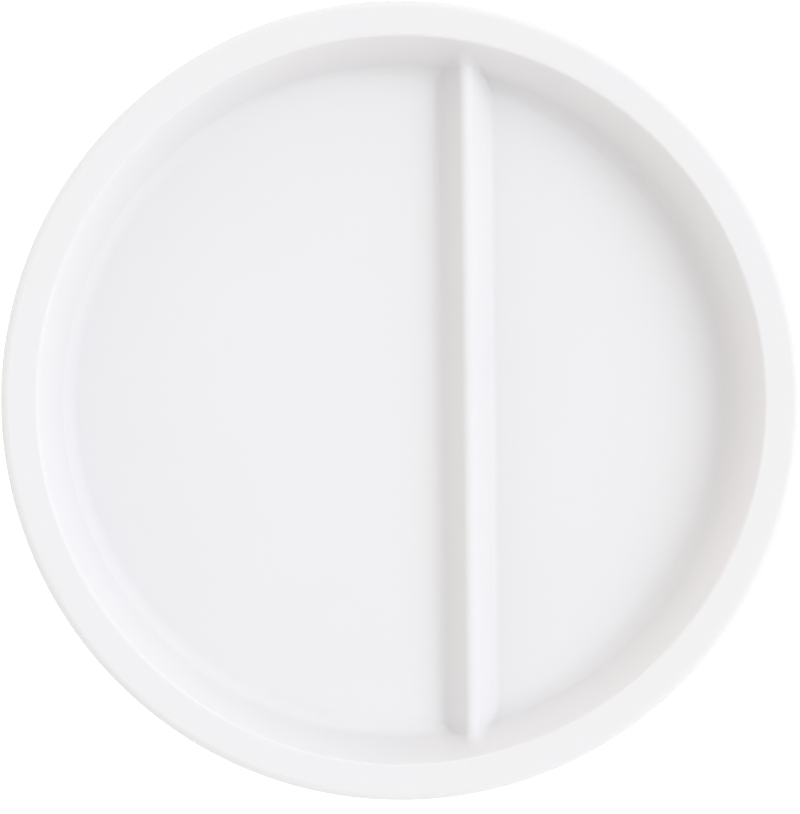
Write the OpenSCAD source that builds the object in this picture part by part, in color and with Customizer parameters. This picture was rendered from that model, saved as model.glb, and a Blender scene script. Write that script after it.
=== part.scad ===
// Round plate with two compartments, glazed white ware
//
// Origin at the centre of the foot, on the surface that the plate stands on. +Z is up, and the
// divider runs along Y. The plate is one moulding. Its regions are separate solids that meet face
// to face on cuts through the whole thickness of the ware.

/* [Overall] */
// Diameter over the rim
plate_d = 230; // [180:1:300]
// Height from the table to the top of the rim
plate_h = 25; // [22:0.5:40]

/* [Rim] */
// Width of the rim, from its outer edge to the opening
rim_w = 10.2; // [9:0.1:16]
// How far the rim stands out past the outer wall
rim_overhang = 7.3; // [5.5:0.1:9]
// Thickness of the rim
rim_t = 4; // [3.8:0.1:6]
// Rounding of the rim's outer edge, above
rim_top_r = 2.3; // [0.5:0.1:2.4]
// Rounding of the rim's outer edge, below
rim_under_r = 1.3; // [0.4:0.1:1.4]
// Rounding of the edge between rim and well
rim_edge_r = 1; // [0.3:0.1:1.4]
// Fillet between the rim's underside and the outer wall
rim_neck_r = 1; // [0.3:0.1:2]

/* [Wall] */
// Lean of the inner wall from upright, in degrees
wall_lean = 22.6; // [10:0.2:26]
// Draft of the outer wall, in degrees
wall_draft = 4.8; // [1:0.2:8]
// Curve between the inner wall and the floor
well_corner_r = 4.8; // [3:0.1:7.5]

/* [Stacking shoulder] */
// Height of the shoulder above the table
shoulder_z = 6.25; // [5:0.05:7.5]
// Rounding of the shoulder's outer edge
shoulder_edge_r = 1.3; // [0.4:0.1:2]
// Gap between the foot and the wall of the plate below, when stacked
nest_gap = 2.15; // [0.8:0.05:2.5]

/* [Foot] */
// Draft of the foot, in degrees
foot_draft = 5; // [1:0.5:10]
// Width of the ring that touches the table
foot_w = 4.5; // [3:0.1:7]
// Height of the recess under the floor
recess_h = 1.4; // [1.25:0.05:2.4]
// Rounding of the foot's two lower edges
foot_edge_r = 0.6; // [0.2:0.05:0.75]
// Fillets in the corners above the foot, outside and inside
foot_fillet_r = 0.6; // [0.2:0.05:0.75]

/* [Floor] */
// Thickness of the floor
floor_t = 3.6; // [2.6:0.1:4.4]

/* [Divider] */
// Distance of the divider from the centre of the plate
divider_x = 19.95; // [0:0.05:40]
// How far the crest lies below the rim
crest_drop = 10.4; // [6:0.1:14]
// Rounding of the crest
crest_r = 2.4; // [1:0.1:4]
// Slope of the two flanks from level, in degrees
flank_slope = 57; // [45:1:70]
// Fillet between the flanks and the floor
flank_fillet_r = 2.5; // [1:0.1:5]

/* [Hidden] */
$fn = 180;
// Overrun of cuts and zones past the ware
over = 5;
// Plain stretch between the end of a curve and the cut beside it
cut_band = 0.2;
// How deep an arc reaches into the straights beside it, so that it leaves no stub of a corner there
arc_reach = 0.001;
// Width of flat floor that the divider's region takes along on each side
strip_margin = 1.2;
ware = "#f1f0f2";

plate_r = plate_d / 2;
opening_r = plate_r - rim_w;
floor_z = recess_h + floor_t;
crest_z = plate_h - crest_drop;

// Radius of the leaning inner wall at height z, and of the outer wall
function well_r(z) = opening_r - (plate_h - z) * tan(wall_lean);
function outer_r(z) = plate_r - rim_overhang - (plate_h - rim_t - z) * tan(wall_draft);

// The foot drops into the well of the plate below until the shoulder rests on that plate's rim
foot_r = well_r(plate_h - shoulder_z) - nest_gap;
foot_top_r = foot_r + shoulder_z * tan(foot_draft);
recess_r = foot_r - foot_w;

// The cuts between the regions: the floor's edge, inside the corner curve, the point on the inner wall
// above that curve, the point on the shoulder outside the foot's fillet, and the rim's height
corner_run = well_corner_r * tan((90 - wall_lean) / 2);
floor_r = well_r(floor_z) - corner_run - cut_band;
wall_cut_z = floor_z + corner_run * cos(wall_lean) + cut_band;
wall_cut = [well_r(wall_cut_z), wall_cut_z];
shoulder_cut = [foot_top_r + foot_fillet_r + cut_band, shoulder_z];
rim_cut_z = plate_h - rim_t - rim_neck_r - cut_band;

// The cut between wall and foot runs straight through the ware and past it at both ends
cut_along = (shoulder_cut - wall_cut) / norm(shoulder_cut - wall_cut);
cut_inside = wall_cut - over * cut_along;
cut_outside = shoulder_cut + over * cut_along;

// The divider's section: the crest is the rounded top of a ridge whose flanks would meet at apex_z
apex_z = crest_z + crest_r * (1 / cos(flank_slope) - 1);
flank_run = (apex_z - floor_z) / tan(flank_slope);
strip_half = flank_run + flank_fillet_r * tan(flank_slope / 2) + strip_margin;

// The corners of an outline are [x, y, radius], anticlockwise. Corner i gives the start, the end and
// the centre of its arc, and a tip that lies just outside the corner.
function flat(p) = [p.x, p.y];
function unit(v) = v / norm(v);
function corner_data(corners, i) =
    let (count = len(corners))
    let (tip = flat(corners[i]))
    let (back = unit(flat(corners[(i + count - 1) % count]) - tip))
    let (ahead = unit(flat(corners[(i + 1) % count]) - tip))
    let (half = acos(back * ahead) / 2)
    let (radius = corners[i].z)
    let (middle = unit(back + ahead))
    [tip + back * radius / tan(half), tip + ahead * radius / tan(half),
     tip + middle * radius / sin(half), tip - middle * radius];

// A hollow corner turns clockwise, as where a wall meets a floor
function is_hollow(corners, i) =
    let (count = len(corners))
    let (arriving = flat(corners[i]) - flat(corners[(i + count - 1) % count]))
    let (leaving = flat(corners[(i + 1) % count]) - flat(corners[i]))
    corners[i].z > 0 && arriving.x * leaving.y - arriving.y * leaving.x < 0;

// Points of the outline before its arcs are cut: a hollow corner is bridged between its arc's ends
function bridged(corners) = [
    for (i = [0 : len(corners) - 1])
        let (data = corner_data(corners, i))
        each is_hollow(corners, i) ? [data[0], data[1]] : [flat(corners[i])]
];

// Outline with true arcs at its corners
module rounded_outline(corners) difference() {
    polygon(bridged(corners));
    for (i = [0 : len(corners) - 1]) if (corners[i].z > 0) {
        data = corner_data(corners, i);
        if (is_hollow(corners, i)) translate(data[2]) circle(r = corners[i].z + arc_reach);
        else difference() {
            polygon([data[0], data[3], data[1]]);
            translate(data[2]) circle(r = corners[i].z + arc_reach);
        }
    }
}

// Half section of the ring round the wells, from the lip to the edge of the floor
module ring_section() rounded_outline([
    [floor_r, recess_h, 0],
    [recess_r, recess_h, foot_fillet_r],
    [recess_r, 0, foot_edge_r],
    [foot_r, 0, foot_edge_r],
    [foot_top_r, shoulder_z, foot_fillet_r],
    [outer_r(shoulder_z), shoulder_z, shoulder_edge_r],
    [outer_r(plate_h - rim_t), plate_h - rim_t, rim_neck_r],
    [plate_r, plate_h - rim_t, rim_under_r],
    [plate_r, plate_h, rim_top_r],
    [opening_r, plate_h, rim_edge_r],
    [well_r(floor_z), floor_z, well_corner_r],
    [floor_r, floor_z, 0]
]);

// The zones that share the ring out between its three regions
module rim_zone() translate([floor_r, rim_cut_z]) square([plate_r, plate_h]);

module wall_zone() polygon([
    cut_inside, cut_outside, [plate_r + over, cut_outside.y], [plate_r + over, rim_cut_z],
    [cut_inside.x, rim_cut_z]
]);

module foot_zone() polygon([
    [floor_r - over, -over], [cut_outside.x, -over], cut_outside, cut_inside,
    [floor_r - over, cut_inside.y]
]);

// The space that the ring leaves free inside, from the underside of the floor to the rim
module inner_space() rotate_extrude() rounded_outline([
    [0, recess_h, 0],
    [floor_r, recess_h, 0],
    [floor_r, floor_z, 0],
    [well_r(floor_z), floor_z, well_corner_r],
    [opening_r, plate_h, 0],
    [0, plate_h, 0]
]);

// Section across the divider, with the strip of floor that carries it
module divider_section() rounded_outline([
    [-strip_half, recess_h, 0],
    [strip_half, recess_h, 0],
    [strip_half, floor_z, 0],
    [flank_run, floor_z, flank_fillet_r],
    [0, apex_z, crest_r],
    [-flank_run, floor_z, flank_fillet_r],
    [-strip_half, floor_z, 0]
]);

// A part of the floor disc between two distances from the centre of the plate, along X
module floor_between(from_x, to_x) intersection() {
    translate([0, 0, recess_h]) cylinder(h = floor_t, r = floor_r);
    translate([from_x, -plate_r, 0]) cube([to_x - from_x, plate_d, plate_h]);
}

module rim() color(ware) rotate_extrude() intersection() {
    ring_section();
    rim_zone();
}

module side_wall() color(ware) rotate_extrude() intersection() {
    ring_section();
    wall_zone();
}

module foot_ring() color(ware) rotate_extrude() intersection() {
    ring_section();
    foot_zone();
}

module large_well_floor() color(ware) floor_between(-plate_r, divider_x - strip_half);

module small_well_floor() color(ware) floor_between(divider_x + strip_half, plate_r);

// The ridge runs on past the wells and is trimmed by the space inside the ring
module divider() color(ware) intersection() {
    inner_space();
    translate([divider_x, plate_r, 0]) rotate([90, 0, 0]) linear_extrude(plate_d) divider_section();
}

rim();
side_wall();
foot_ring();
large_well_floor();
small_well_floor();
divider();
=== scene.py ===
"""A round white glazed plate with two compartments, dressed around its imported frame.

Lengths are in metres and in the frame's own axes: the foot stands on z = 0, the divider runs along Y and
the small compartment lies on the +X side.
"""

import math

import bmesh
import bpy
import numpy as np
from mathutils import Matrix, Vector


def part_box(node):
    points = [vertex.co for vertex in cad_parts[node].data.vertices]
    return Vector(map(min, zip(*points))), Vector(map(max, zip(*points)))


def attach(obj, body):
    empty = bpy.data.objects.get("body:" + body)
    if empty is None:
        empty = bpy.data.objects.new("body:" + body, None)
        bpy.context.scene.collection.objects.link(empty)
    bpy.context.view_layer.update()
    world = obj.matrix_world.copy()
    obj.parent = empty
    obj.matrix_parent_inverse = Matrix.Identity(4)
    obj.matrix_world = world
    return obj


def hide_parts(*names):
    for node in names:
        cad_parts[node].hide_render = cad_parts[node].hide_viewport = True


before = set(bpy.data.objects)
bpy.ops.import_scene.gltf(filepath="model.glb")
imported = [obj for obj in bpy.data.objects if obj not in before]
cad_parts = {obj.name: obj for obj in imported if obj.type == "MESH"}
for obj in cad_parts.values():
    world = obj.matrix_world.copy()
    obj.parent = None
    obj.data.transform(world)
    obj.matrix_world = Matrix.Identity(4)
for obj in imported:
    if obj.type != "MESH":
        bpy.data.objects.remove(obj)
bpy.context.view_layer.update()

MM = 0.001


def frame_box(node):
    """Lowest and highest corner of a frame node, rounded to a hundredth of a millimetre."""
    low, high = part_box(node)
    return np.round(np.array(low), 5), np.round(np.array(high), 5)


# Sizes that the frame gives
PLATE_H = frame_box("rim")[1][2]
PLATE_R = frame_box("rim")[1][0]
RIM_CUT_Z = frame_box("rim")[0][2]
SHOULDER_Z = frame_box("side_wall")[0][2]
WALL_CUT_Z = frame_box("foot_ring")[1][2]
UNDER_Z, FLOOR_Z = frame_box("large_well_floor")[0][2], frame_box("large_well_floor")[1][2]
CREST_Z = frame_box("divider")[1][2]
STRIP_X = frame_box("divider")[0][0], frame_box("divider")[1][0]
DIVIDER_X = sum(STRIP_X) / 2

# Sizes of the ware's section that the frame's corners don't give
RIM_W = 10.2 * MM
RIM_OVERHANG = 7.3 * MM
RIM_T = 4 * MM
RIM_TOP_R = 2.3 * MM
RIM_UNDER_R = 1.3 * MM
RIM_EDGE_R = 1 * MM
RIM_NECK_R = 1 * MM
WALL_LEAN = math.radians(22.6)
WALL_DRAFT = math.radians(4.8)
WELL_CORNER_R = 4.8 * MM
SHOULDER_EDGE_R = 1.3 * MM
NEST_GAP = 2.15 * MM
FOOT_DRAFT = math.radians(5)
FOOT_W = 4.5 * MM
FOOT_EDGE_R = 0.6 * MM
FOOT_FILLET_R = 0.6 * MM
CUT_BAND = 0.2 * MM
CREST_R = 2.4 * MM
FLANK_SLOPE = math.radians(57)
FLANK_FILLET_R = 2.5 * MM

# Soft valley where an end of the ridge runs into the wall: its width as a share of both heights' geometric
# mean, how many times as high as the ridge the bowl stands where the piece ends, and how far it sinks in
BLEND_SHARE = 0.6
BLEND_END = 1.81
FEATHER_SINK = 0.004 * MM

# Fineness of the meshes, the angle past which an edge is shaded sharp, the distance within which points
# become one, and a length that counts as none
TURNS = 480
ARC_STEP = math.radians(3)
STRAIGHT_STEP = 1.5 * MM
RIDGE_STEP = 0.4 * MM
FLOOR_ROWS, FLOOR_COLUMNS = 97, 61
RIDGE_COLUMNS, RIDGE_END_COLUMNS = 61, 49
SHARP_ANGLE = math.radians(35)
MERGE_DISTANCE = 0.00002 * MM
TINY = 1e-9

# Glaze: the two colours that it drifts between, the scale and detail of each noise, the depth of the ripples
# and of the orange peel, the span of a noise that is used, and the roughness at the ends of that span
GLAZE_COOL = (0.834, 0.829, 0.846)
GLAZE_WARM = (0.842, 0.835, 0.846)
COLOUR_NOISE = 14, 3
POLISH_NOISE = 55, 4
RIPPLE_NOISE = 45, 1
RIPPLE_DEPTH = 0.03 * MM
PEEL_NOISE = 700, 2
PEEL_DEPTH = 0.002 * MM
NOISE_SPAN = 0.3, 0.7
GLAZE_ROUGHNESS = 0.1, 0.16
GLAZE_IOR = 1.5

# Bare ware that the foot stands on, and the heights between which the glaze ends
BARE_BODY = (0.74, 0.72, 0.69)
BARE_ROUGHNESS = 0.7
GLAZE_END_Z, BARE_Z = 0.35 * MM, 0.15 * MM

# Table, with the glow that brings it to white for the camera: faint at the foot, full outside the lip
TABLE_R = 3
TABLE_SIDES = 64
TABLE_COLOUR = (0.92, 0.92, 0.92)
GLOW_AT_FOOT = 0.1
GLOW_OUTSIDE = 0.5
GLOW_MARGIN = 3 * MM

# Even part of the dome, its low band round the horizon, and its soft windows: azimuth and elevation in
# degrees, narrowness, peak and tint. The window that gives most light is a little cooler than the rest,
# which fills the shade.
DOME_STRENGTH = 0.385
DOME_TINT = (1.015, 1, 0.98)
HORIZON_PEAK = 1.4
HORIZON_NARROWNESS = 200
HORIZON_TINT = (1.01, 1, 0.985)
KEY_TINT = (0.975, 1, 1.055)
FILL_TINT = (1.04, 1, 0.925)
SOFT_WINDOWS = [
    (12, 53, 14, 4.22, KEY_TINT),
    (107, 15, 8, 1.2, FILL_TINT),
    (187, 21, 13, 1.62, FILL_TINT),
    (268, 7, 14, 1.49, FILL_TINT),
    (336, 8, 14, 0.86, FILL_TINT),
]

# How white the surroundings show in the glaze, where 1 is the white that the camera sees
MIRRORED_WHITE = 0.85

# Camera: distance in radii of the plate, turns about Y, X and its own axis, then in pixels the size of the
# picture, the place where the middle of the lip shows and the lip's radius, and last the sensor's width in
# millimetres and how far the camera sees
VIEW_DISTANCE = 10.9
VIEW_YAW = math.radians(-3.5)
VIEW_PITCH = math.radians(1)
VIEW_ROLL = math.radians(-0.6)
PICTURE_W, PICTURE_H = 800, 814
CENTRE_X, CENTRE_Y, CIRCLE_R = 402.4, 399.6, 399.8
SENSOR_WIDTH = 36
CLIP_END = 10


def well_r(z):
    """Radius of the inner wall at height z: the opening's, less the depth times the tangent of the lean."""
    return PLATE_R - RIM_W - (PLATE_H - z) * math.tan(WALL_LEAN)


def outer_r(z):
    """Radius of the outer wall at height z, which draws in downwards from the rim's underside."""
    return PLATE_R - RIM_OVERHANG - (PLATE_H - RIM_T - z) * math.tan(WALL_DRAFT)


FOOT_R = well_r(PLATE_H - SHOULDER_Z) - NEST_GAP
FOOT_TOP_R = FOOT_R + SHOULDER_Z * math.tan(FOOT_DRAFT)
RECESS_R = FOOT_R - FOOT_W
CORNER_RUN = WELL_CORNER_R * math.tan((math.pi / 2 - WALL_LEAN) / 2)
CORNER_START_R = well_r(FLOOR_Z) - CORNER_RUN
CORNER_END_Z = FLOOR_Z + CORNER_RUN * math.cos(WALL_LEAN)
CORNER_END_R = well_r(CORNER_END_Z)
FLOOR_R = CORNER_START_R - CUT_BAND
SHOULDER_CUT_R = FOOT_TOP_R + FOOT_FILLET_R + CUT_BAND


def rounded_line(corners, closed, step=STRAIGHT_STEP):
    """Line through corners [x, y, radius] with an arc at each corner that has a radius.

    An arc's centre lies on the bisector, radius over sine of half the angle from the corner, and its points
    go from one tangent point to the other at even angles. Straights are divided evenly.
    """
    corners = np.array(corners, float)
    runs = []
    for i, (x, y, radius) in enumerate(corners):
        tip = np.array([x, y])
        ends = not closed and i in (0, len(corners) - 1)
        if radius == 0 or ends:
            runs.append(tip[None])
            continue
        back = corners[i - 1, :2] - tip
        ahead = corners[(i + 1) % len(corners), :2] - tip
        back, ahead = back / np.linalg.norm(back), ahead / np.linalg.norm(ahead)
        half = math.acos(np.clip(back @ ahead, -1, 1)) / 2
        middle = (back + ahead) / np.linalg.norm(back + ahead)
        centre = tip + middle * radius / math.sin(half)
        start = tip + back * radius / math.tan(half) - centre
        end = tip + ahead * radius / math.tan(half) - centre
        turn = math.atan2(start[0] * end[1] - start[1] * end[0], start @ end)
        share = np.linspace(0, 1, 2 + int(abs(turn) / ARC_STEP))
        angles = math.atan2(start[1], start[0]) + turn * share
        runs.append(centre + radius * np.stack([np.cos(angles), np.sin(angles)], 1))
    line = []
    for run, following in zip(runs, runs[1:] + runs[:1]):
        gap = following[0] - run[-1]
        parts = max(1, int(np.linalg.norm(gap) / step))
        line += [run, run[-1] + gap * (np.arange(1, parts) / parts)[:, None]]
    if not closed:
        line.pop()
    return np.concatenate(line)


def grid_faces(rows, columns, closed_rows=False, closed_columns=False):
    """Quads of a grid of points, row by row, which may close on itself either way."""
    i, j = np.meshgrid(np.arange(rows if closed_rows else rows - 1),
                       np.arange(columns if closed_columns else columns - 1), indexing="ij")
    i, j = i.ravel(), j.ravel()
    i2, j2 = (i + 1) % rows, (j + 1) % columns
    return np.stack([i * columns + j, i * columns + j2, i2 * columns + j2, i2 * columns + j], 1)


def revolved(outline):
    """Surface of revolution of a closed outline that runs anticlockwise in (radius, height).

    Point (r, z) at turn a goes to (r cos a, r sin a, z).
    """
    turn = np.linspace(0, 2 * math.pi, TURNS, endpoint=False)
    r, z = outline[:, :1], outline[:, 1:]
    points = np.stack([r * np.cos(turn), r * np.sin(turn), z + 0 * turn], 2).reshape(-1, 3)
    return points, grid_faces(len(outline), TURNS, True, True)


def lofted(x, y, low, high):
    """Closed solid over a plan whose lines run along Y: row i lies at x[i], between heights low and high.

    y, low and high are arrays of rows by columns. The upper side goes over the plan, the under side comes
    back below it, and the first and last rows are closed from the under side to the upper one.
    """
    rows, columns = y.shape
    across = np.repeat(x[:, None], columns, 1)
    upper = np.stack([across, y, high], 2)
    under = np.stack([across, y, low], 2)[:, ::-1]
    points = np.concatenate([upper, under], 1)
    faces = grid_faces(rows, 2 * columns, False, True)[:, ::-1]
    j = np.arange(columns - 1)
    cap = np.stack([j, j + 1, 2 * columns - 2 - j, 2 * columns - 1 - j], 1)
    last = (rows - 1) * 2 * columns
    return points.reshape(-1, 3), np.concatenate([faces, cap, last + cap[:, ::-1]])


def bowl_height(r):
    """Height of the bowl's inner surface above the floor at radius r.

    It is nil over the floor. Along the corner's arc it is the arc's radius less the root of (that radius
    squared less run squared), where run is the distance past the arc's start. Above the arc it grows by the
    further distance over the tangent of the wall's lean.
    """
    run = np.clip(r - CORNER_START_R, 0, None)
    arc = WELL_CORNER_R - np.sqrt(np.maximum(WELL_CORNER_R**2 - run**2, 0))
    cone = CORNER_END_Z - FLOOR_Z + (r - CORNER_END_R) / math.tan(WALL_LEAN)
    return np.where(r < CORNER_END_R, arc, cone)


def bowl_radius(height):
    """Radius at which the bowl's inner surface stands at a height above the floor, bowl_height's reverse."""
    arc = CORNER_START_R + np.sqrt(np.maximum(WELL_CORNER_R**2 - (WELL_CORNER_R - height) ** 2, 0))
    cone = CORNER_END_R + (height - (CORNER_END_Z - FLOOR_Z)) * math.tan(WALL_LEAN)
    return np.where(height < CORNER_END_Z - FLOOR_Z, arc, cone)


def rim_outline():
    """Section of the rim, from the cut across the wall round the lip and back."""
    return rounded_line([
        [well_r(RIM_CUT_Z), RIM_CUT_Z, 0],
        [outer_r(RIM_CUT_Z), RIM_CUT_Z, 0],
        [outer_r(PLATE_H - RIM_T), PLATE_H - RIM_T, RIM_NECK_R],
        [PLATE_R, PLATE_H - RIM_T, RIM_UNDER_R],
        [PLATE_R, PLATE_H, RIM_TOP_R],
        [PLATE_R - RIM_W, PLATE_H, RIM_EDGE_R],
    ], True)


def side_wall_outline():
    """Section of the wall between the cut above the well's corner and the rim, with the shoulder below."""
    return rounded_line([
        [well_r(WALL_CUT_Z), WALL_CUT_Z, 0],
        [SHOULDER_CUT_R, SHOULDER_Z, 0],
        [outer_r(SHOULDER_Z), SHOULDER_Z, SHOULDER_EDGE_R],
        [outer_r(RIM_CUT_Z), RIM_CUT_Z, 0],
        [well_r(RIM_CUT_Z), RIM_CUT_Z, 0],
    ], True)


def foot_ring_outline():
    """Section of the foot, with the well's curved corner above it."""
    return rounded_line([
        [FLOOR_R, UNDER_Z, 0],
        [RECESS_R, UNDER_Z, FOOT_FILLET_R],
        [RECESS_R, 0, FOOT_EDGE_R],
        [FOOT_R, 0, FOOT_EDGE_R],
        [FOOT_TOP_R, SHOULDER_Z, FOOT_FILLET_R],
        [SHOULDER_CUT_R, SHOULDER_Z, 0],
        [well_r(WALL_CUT_Z), WALL_CUT_Z, 0],
        [well_r(FLOOR_Z), FLOOR_Z, WELL_CORNER_R],
        [FLOOR_R, FLOOR_Z, 0],
    ], True)


def well_floor(x_from, x_to):
    """Part of the floor's disc between two places along X.

    A row at x reaches to the root of (radius squared less x squared) on both sides.
    """
    angle_from, angle_to = (math.acos(np.clip(x / FLOOR_R, -1, 1)) for x in (x_from, x_to))
    angle = np.linspace(angle_from, angle_to, FLOOR_ROWS)
    y = FLOOR_R * np.sin(angle)[:, None] * np.linspace(-1, 1, FLOOR_COLUMNS)
    return lofted(FLOOR_R * np.cos(angle), y, np.full_like(y, UNDER_Z), np.full_like(y, FLOOR_Z))


def divider_ridge():
    """Ridge with the strip of floor under it, and its two ends blended into the bowl.

    Its height above the floor is the larger of the ridge's and the bowl's, plus width / 4 times the square
    of (1 less their difference over width), where width is a share of the root of their product. That
    rounds the valley between them. The piece ends where the bowl stands BLEND_END times as high as the
    ridge, and sinks a little into the wall there.
    """
    apex = CREST_Z + CREST_R * (1 / math.cos(FLANK_SLOPE) - 1)
    run = (apex - FLOOR_Z) / math.tan(FLANK_SLOPE)
    strip = (STRIP_X[1] - STRIP_X[0]) / 2
    section = rounded_line([
        [-strip, FLOOR_Z, 0],
        [-run, FLOOR_Z, FLANK_FILLET_R],
        [0, apex, CREST_R],
        [run, FLOOR_Z, FLANK_FILLET_R],
        [strip, FLOOR_Z, 0],
    ], False, RIDGE_STEP)
    x = DIVIDER_X + section[:, 0]
    ridge = np.maximum(section[:, 1] - FLOOR_Z, 0)[:, None]
    on_ridge = ridge[:, 0] > TINY
    inner_end = np.sqrt(FLOOR_R**2 - x**2)
    end_r = np.where(on_ridge, bowl_radius(BLEND_END * ridge[:, 0]), FLOOR_R)
    outer_end = np.sqrt(end_r**2 - x**2)
    middle = np.linspace(-1, 1, RIDGE_COLUMNS) * inner_end[:, None]
    share = np.linspace(0, 1, RIDGE_END_COLUMNS)
    right = inner_end[:, None] + share * (outer_end - inner_end)[:, None]
    y = np.concatenate([-right[:, ::-1], middle, right], 1)
    bowl = np.maximum(bowl_height(np.hypot(x[:, None], y)), 0)
    width = BLEND_SHARE * np.sqrt(ridge * bowl)
    nearness = np.clip(1 - np.abs(ridge - bowl) / np.maximum(width, TINY), 0, 1)
    high = FLOOR_Z + np.maximum(ridge, bowl) + width / 4 * nearness**2
    low = np.full_like(y, UNDER_Z)
    ends = np.ones(y.shape[1], bool)
    ends[share.size:-share.size] = False
    low[:, ends] = np.where(on_ridge[:, None], FLOOR_Z + bowl[:, ends] - FEATHER_SINK, UNDER_Z)
    tip = np.where(on_ridge, FLOOR_Z + bowl[:, 0] - FEATHER_SINK, FLOOR_Z)
    high[:, 0] = high[:, -1] = tip
    return lofted(x, y, low, high)


def white_glaze(name, ground_foot):
    """Glossy white glaze: a faint drift of colour, uneven polish, long low ripples and a fine orange peel.

    Where ground_foot is set, the face that the foot stands on is bare, matt and slightly darker.
    """
    material = bpy.data.materials.new(name)
    material.use_nodes = True
    tree = material.node_tree
    shader = tree.nodes["Principled BSDF"]
    place = tree.nodes.new("ShaderNodeTexCoord").outputs["Object"]

    def noise(scale, detail):
        n = tree.nodes.new("ShaderNodeTexNoise")
        n.inputs["Scale"].default_value = scale
        n.inputs["Detail"].default_value = detail
        tree.links.new(place, n.inputs["Vector"])
        return n.outputs["Fac"]

    def mixed(factor, first, second):
        n = tree.nodes.new("ShaderNodeMix")
        n.data_type = "RGBA"
        tree.links.new(factor, n.inputs["Factor"])
        for given, target in ((first, n.inputs["A"]), (second, n.inputs["B"])):
            if isinstance(given, tuple):
                target.default_value = (*given, 1)
            else:
                tree.links.new(given, target)
        return n.outputs["Result"]

    def bumped(height, depth, normal=None):
        n = tree.nodes.new("ShaderNodeBump")
        n.inputs["Distance"].default_value = depth
        n.inputs["Strength"].default_value = 1
        tree.links.new(height, n.inputs["Height"])
        if normal is not None:
            tree.links.new(normal, n.inputs["Normal"])
        return n.outputs["Normal"]

    colour = mixed(ranged(tree, noise(*COLOUR_NOISE), NOISE_SPAN, (0, 1)), GLAZE_COOL, GLAZE_WARM)
    polish = ranged(tree, noise(*POLISH_NOISE), NOISE_SPAN, GLAZE_ROUGHNESS)
    normal = bumped(noise(*RIPPLE_NOISE), RIPPLE_DEPTH)
    normal = bumped(noise(*PEEL_NOISE), PEEL_DEPTH, normal)
    if ground_foot:
        split = tree.nodes.new("ShaderNodeSeparateXYZ")
        tree.links.new(place, split.inputs["Vector"])
        bare = ranged(tree, split.outputs["Z"], (GLAZE_END_Z, BARE_Z), (0, 1))
        colour = mixed(bare, colour, BARE_BODY)
        grit = tree.nodes.new("ShaderNodeMix")
        tree.links.new(bare, grit.inputs["Factor"])
        tree.links.new(polish, grit.inputs["A"])
        grit.inputs["B"].default_value = BARE_ROUGHNESS
        polish = grit.outputs["Result"]
    tree.links.new(colour, shader.inputs["Base Color"])
    tree.links.new(polish, shader.inputs["Roughness"])
    tree.links.new(normal, shader.inputs["Normal"])
    shader.inputs["IOR"].default_value = GLAZE_IOR
    return material


def ranged(tree, value, span, target_span, interpolation="LINEAR"):
    """Output of a node that maps a value from one span to another, held at the ends."""
    n = tree.nodes.new("ShaderNodeMapRange")
    n.interpolation_type = interpolation
    n.inputs["From Min"].default_value, n.inputs["From Max"].default_value = span
    n.inputs["To Min"].default_value, n.inputs["To Max"].default_value = target_span
    tree.links.new(value, n.inputs["Value"])
    return n.outputs["Result"]


def calculated(tree, operation, *values):
    """Output of a math node, given sockets or plain numbers in the order of its inputs."""
    n = tree.nodes.new("ShaderNodeMath")
    n.operation = operation
    for given, target in zip(values, n.inputs):
        if isinstance(given, bpy.types.NodeSocket):
            tree.links.new(given, target)
        else:
            target.default_value = given
    return n.outputs["Value"]


def piece(node, shape, material):
    """Makes a piece from its points and faces, and lets it stand for the frame node of the same name."""
    points, faces = shape
    mesh = bpy.data.meshes.new(node + "_ware")
    mesh.from_pydata(points.tolist(), [], faces.tolist())
    made = bpy.data.objects.new(node + "_ware", mesh)
    bpy.context.scene.collection.objects.link(made)
    work = bmesh.new()
    work.from_mesh(mesh)
    bmesh.ops.remove_doubles(work, verts=work.verts, dist=MERGE_DISTANCE)
    work.to_mesh(mesh)
    work.free()
    mesh.polygons.foreach_set("use_smooth", np.ones(len(mesh.polygons), bool))
    mesh.set_sharp_from_angle(angle=SHARP_ANGLE)
    mesh.materials.append(material)
    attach(made, "root")
    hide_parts(node)


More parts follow.
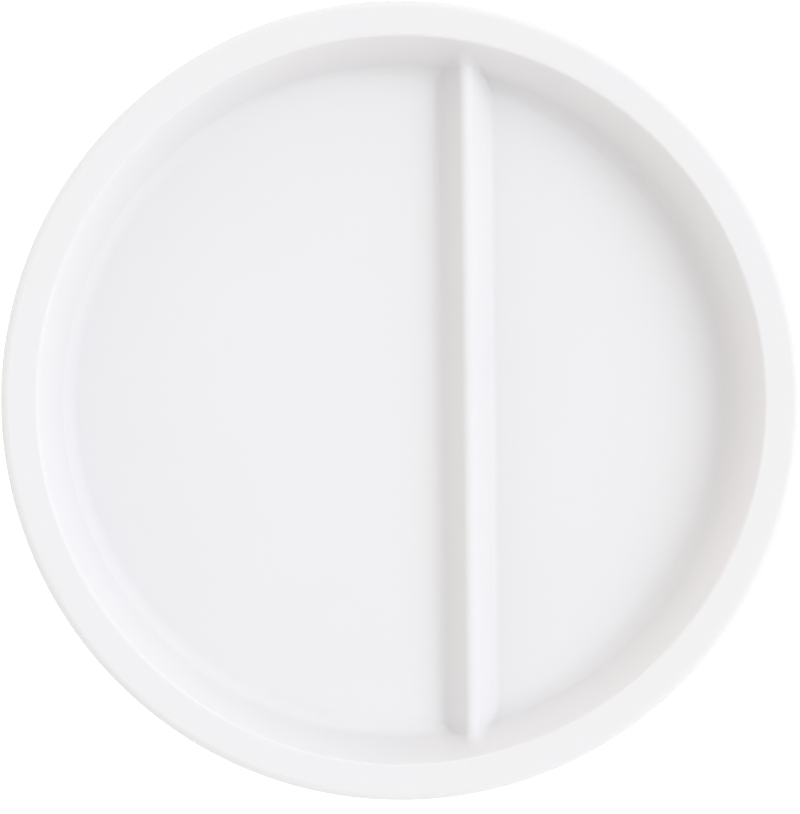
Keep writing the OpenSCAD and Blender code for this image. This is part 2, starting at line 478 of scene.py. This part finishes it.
def stage_floor():
    """Pale table that takes the plate's shadow.

    A glow that only the camera sees brings the lit table to white. It is faint near the foot and grows with
    the distance from the centre, to its full strength just outside the lip. Reflections see the lit table
    as it is.
    """
    angle = np.linspace(0, 2 * math.pi, TABLE_SIDES, endpoint=False)
    points = np.stack([TABLE_R * np.cos(angle), TABLE_R * np.sin(angle), 0 * angle], 1)
    mesh = bpy.data.meshes.new("table")
    mesh.from_pydata(points.tolist(), [], [list(range(TABLE_SIDES))])
    table = bpy.data.objects.new("table", mesh)
    bpy.context.scene.collection.objects.link(table)
    material = bpy.data.materials.new("table_white")
    material.use_nodes = True
    tree = material.node_tree
    tree.nodes.clear()
    out = tree.nodes.new("ShaderNodeOutputMaterial")
    diffuse = tree.nodes.new("ShaderNodeBsdfDiffuse")
    diffuse.inputs["Color"].default_value = (*TABLE_COLOUR, 1)
    glow = tree.nodes.new("ShaderNodeEmission")
    both = tree.nodes.new("ShaderNodeAddShader")
    tree.links.new(diffuse.outputs["BSDF"], both.inputs[0])
    tree.links.new(glow.outputs["Emission"], both.inputs[1])
    tree.links.new(both.outputs["Shader"], out.inputs["Surface"])
    distance = tree.nodes.new("ShaderNodeVectorMath")
    distance.operation = "LENGTH"
    tree.links.new(tree.nodes.new("ShaderNodeTexCoord").outputs["Object"], distance.inputs[0])
    strength = ranged(tree, distance.outputs["Value"], (FOOT_R, PLATE_R + GLOW_MARGIN),
                      (GLOW_AT_FOOT, GLOW_OUTSIDE), "SMOOTHSTEP")
    camera_ray = tree.nodes.new("ShaderNodeLightPath").outputs["Is Camera Ray"]
    tree.links.new(calculated(tree, "MULTIPLY", strength, camera_ray), glow.inputs["Strength"])
    mesh.materials.append(material)


def shown_white(tree, mirrored):
    """1 for camera rays, mirrored for glossy and transmission rays, and 0 for the rays that carry light."""
    path = tree.nodes.new("ShaderNodeLightPath")
    largest = path.outputs["Is Camera Ray"]
    for name in ("Is Glossy Ray", "Is Transmission Ray"):
        part = calculated(tree, "MULTIPLY", path.outputs[name], mirrored)
        largest = calculated(tree, "MAXIMUM", largest, part)
    return largest


def direction_towards(azimuth, elevation):
    """Unit vector from the plate towards a light, azimuth from +X to +Y and elevation in degrees."""
    a, e = math.radians(azimuth), math.radians(elevation)
    return math.cos(e) * math.cos(a), math.cos(e) * math.sin(a), math.sin(e)


def studio_dome():
    """Dome of soft light that shows as plain white to the camera, and nearly so in reflections.

    Its strength is an even part, a low band round the horizon and some soft windows. The band is a peak times
    e to the power of minus narrowness times the square of the direction's rise. Each window is a peak times
    e to the power of narrowness times (cosine of the angle from the window's middle, less 1).
    """
    world = bpy.data.worlds.new("studio")
    world.use_nodes = True
    bpy.context.scene.world = world
    tree = world.node_tree
    tree.nodes.clear()
    out = tree.nodes.new("ShaderNodeOutputWorld")
    mix = tree.nodes.new("ShaderNodeMixShader")
    dome = tree.nodes.new("ShaderNodeBackground")
    white = tree.nodes.new("ShaderNodeBackground")
    direction = tree.nodes.new("ShaderNodeTexCoord").outputs["Generated"]

    def cosine_to(target):
        n = tree.nodes.new("ShaderNodeVectorMath")
        n.operation = "DOT_PRODUCT"
        tree.links.new(direction, n.inputs[0])
        n.inputs[1].default_value = target
        return n.outputs["Value"]

    def with_light(others, tint, peak, exponent):
        scale = tree.nodes.new("ShaderNodeVectorMath")
        scale.operation = "SCALE"
        scale.inputs["Vector"].default_value = [peak * part for part in tint]
        tree.links.new(calculated(tree, "EXPONENT", exponent), scale.inputs["Scale"])
        total = tree.nodes.new("ShaderNodeVectorMath")
        total.operation = "ADD"
        tree.links.new(scale.outputs["Vector"], total.inputs[0])
        if isinstance(others, bpy.types.NodeSocket):
            tree.links.new(others, total.inputs[1])
        else:
            total.inputs[1].default_value = others
        return total.outputs["Vector"]

    rise = cosine_to((0, 0, 1))
    fall = calculated(tree, "MULTIPLY", calculated(tree, "MULTIPLY", rise, rise), -HORIZON_NARROWNESS)
    light = with_light([DOME_STRENGTH * part for part in DOME_TINT], HORIZON_TINT, HORIZON_PEAK, fall)
    for azimuth, elevation, narrowness, peak, tint in SOFT_WINDOWS:
        towards = cosine_to(direction_towards(azimuth, elevation))
        fall = calculated(tree, "MULTIPLY_ADD", towards, narrowness, -narrowness)
        light = with_light(light, tint, peak, fall)
    tree.links.new(light, dome.inputs["Color"])
    dome.inputs["Strength"].default_value = 1
    white.inputs["Color"].default_value = (1, 1, 1, 1)
    tree.links.new(shown_white(tree, MIRRORED_WHITE), white.inputs["Strength"])
    tree.links.new(shown_white(tree, 1), mix.inputs["Fac"])
    tree.links.new(dome.outputs["Background"], mix.inputs[1])
    tree.links.new(white.outputs["Background"], mix.inputs[2])
    tree.links.new(mix.outputs["Shader"], out.inputs["Surface"])


def studio_camera():
    """Camera that looks down almost along the plate's axis, turned a little about Y, X and its own axis."""
    camera = bpy.data.cameras.new("camera")
    camera.sensor_width = SENSOR_WIDTH
    camera.lens = CIRCLE_R * VIEW_DISTANCE / max(PICTURE_W, PICTURE_H) * SENSOR_WIDTH
    camera.clip_end = CLIP_END
    thing = bpy.data.objects.new("camera", camera)
    bpy.context.scene.collection.objects.link(thing)
    turn = Matrix.Rotation(VIEW_YAW, 3, "Y")
    turn = turn @ Matrix.Rotation(VIEW_PITCH, 3, "X")
    turn = turn @ Matrix.Rotation(VIEW_ROLL, 3, "Z")
    pixel = PLATE_R / CIRCLE_R
    right = (PICTURE_W / 2 - CENTRE_X) * pixel
    up = (CENTRE_Y - PICTURE_H / 2) * pixel
    middle = Vector((0, 0, PLATE_H - RIM_TOP_R))
    place = middle + turn @ Vector((right, up, VIEW_DISTANCE * PLATE_R))
    thing.matrix_world = Matrix.Translation(place) @ turn.to_4x4()
    bpy.context.scene.camera = thing


glaze = white_glaze("white_glaze", False)
foot_glaze = white_glaze("foot_glaze", True)
piece("rim", revolved(rim_outline()), glaze)
piece("side_wall", revolved(side_wall_outline()), glaze)
piece("foot_ring", revolved(foot_ring_outline()), foot_glaze)
piece("large_well_floor", well_floor(-FLOOR_R, STRIP_X[0]), glaze)
piece("small_well_floor", well_floor(STRIP_X[1], FLOOR_R), glaze)
piece("divider", divider_ridge(), glaze)

stage_floor()
studio_dome()
studio_camera()
bpy.context.scene.view_settings.view_transform = "Standard"
